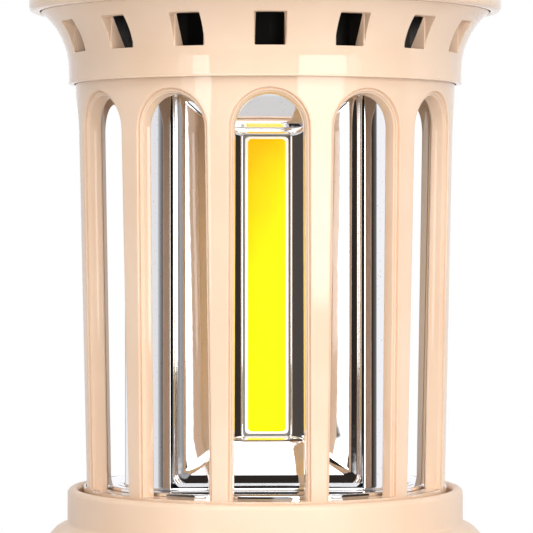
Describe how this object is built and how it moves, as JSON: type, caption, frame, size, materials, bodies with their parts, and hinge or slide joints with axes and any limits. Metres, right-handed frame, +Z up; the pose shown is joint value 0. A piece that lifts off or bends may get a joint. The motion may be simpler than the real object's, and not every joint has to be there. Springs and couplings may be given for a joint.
{
  "type": "electric bug zapper",
  "caption": "Round portable bug zapper lantern with arched cage, mirrored light column, vented flared crown, lift-off lid and folding handle.",
  "frame": {"origin": "on the ground, under the middle of the base", "axes": "+Z up along the column, front with the two buttons towards -Y, handle pivots on X"},
  "size_m": [0.1162, 0.1036, 0.2123],
  "materials": {
    "beige_plastic": "gloss moulded",
    "chrome_plated": "mirror-plated plastic",
    "aluminium": "as extruded",
    "steel": "zinc plated",
    "black_plastic": "fine texture",
    "rubber_dark": "matt moulded",
    "phosphor": "silicone phosphor",
    "strip_white": "white solder mask",
    "board_green": "solder mask",
    "epoxy": "potting resin",
    "cell_wrap": "shrink sleeve",
    "violet_lens": "violet tinted",
    "clear_lens": "clear"
  },
  "bodies": {
    "body": {"foot_pad_1": "rubber_dark", "foot_pad_2": "rubber_dark", "foot_pad_3": "rubber_dark", "foot_pad_4": "rubber_dark", "wire_loom": "rubber_dark", "bottom_cover": "beige_plastic", "base_housing": "beige_plastic", "cage": "beige_plastic", "crown": "beige_plastic", "rim_ring": "beige_plastic", "cover_screw_1": "steel", "cover_screw_2": "steel", "cover_screw_3": "steel", "cover_screw_4": "steel", "cage_screw_1": "steel", "cage_screw_2": "steel", "cage_screw_3": "steel", "head_screw_1": "steel", "head_screw_2": "steel", "head_screw_3": "steel", "head_screw_4": "steel", "usb_socket": "steel", "electrode_comb_lower": "steel", "electrode_comb_upper": "steel", "handle_pin_left": "steel", "handle_pin_right": "steel", "battery_tray": "black_plastic", "lamp_switch": "black_plastic", "zapper_switch": "black_plastic", "chamber_base": "black_plastic", "insect_tray": "black_plastic", "grid_frame": "black_plastic", "grid_top_ring": "black_plastic", "battery_cell_1": "cell_wrap", "battery_cell_2": "cell_wrap", "main_board": "board_green", "switch_board": "board_green", "uv_board": "board_green", "high_voltage_module": "epoxy", "charge_window": "clear_lens", "reflector": "chrome_plated", "light_spine": "aluminium", "strip_board_1": "strip_white", "strip_board_2": "strip_white", "strip_board_3": "strip_white", "strip_phosphor_1": "phosphor", "strip_phosphor_2": "phosphor", "strip_phosphor_3": "phosphor", "uv_led_1": "violet_lens", "uv_led_2": "violet_lens", "uv_led_3": "violet_lens", "uv_diffuser": "violet_lens"},
    "handle": {"handle": "beige_plastic"},
    "lid": {"lid": "beige_plastic", "lid_gasket": "rubber_dark", "lid_knob": "beige_plastic"},
    "lamp_button": {"lamp_button": "black_plastic"},
    "zapper_button": {"zapper_button": "black_plastic"},
    "port_cover": {"port_cover": "rubber_dark"}
  },
  "joints": [
    {"name": "handle_swing", "type": "hinge", "parent": "body", "child": "handle", "pos_m": [0, 0, 0.151], "axis": [1, 0, 0], "range_deg": [-90, 90]},
    {"name": "lid_lift", "type": "slide", "parent": "body", "child": "lid", "axis": [0, 0, 1], "range_m": [0, 0.022]},
    {"name": "lamp_button_press", "type": "slide", "parent": "body", "child": "lamp_button", "axis": [0, 1, 0], "range_m": [0, 0.0008], "stiffness_N_per_m": 500, "springref_m": -0.0006},
    {"name": "zapper_button_press", "type": "slide", "parent": "body", "child": "zapper_button", "axis": [0, 1, 0], "range_m": [0, 0.0008], "stiffness_N_per_m": 500, "springref_m": -0.0006},
    {"name": "port_cover_swing", "type": "hinge", "parent": "body", "child": "port_cover", "pos_m": [0, 0.0497, 0.0107], "axis": [-1, 0, 0], "range_deg": [0, 95]}
  ]
}
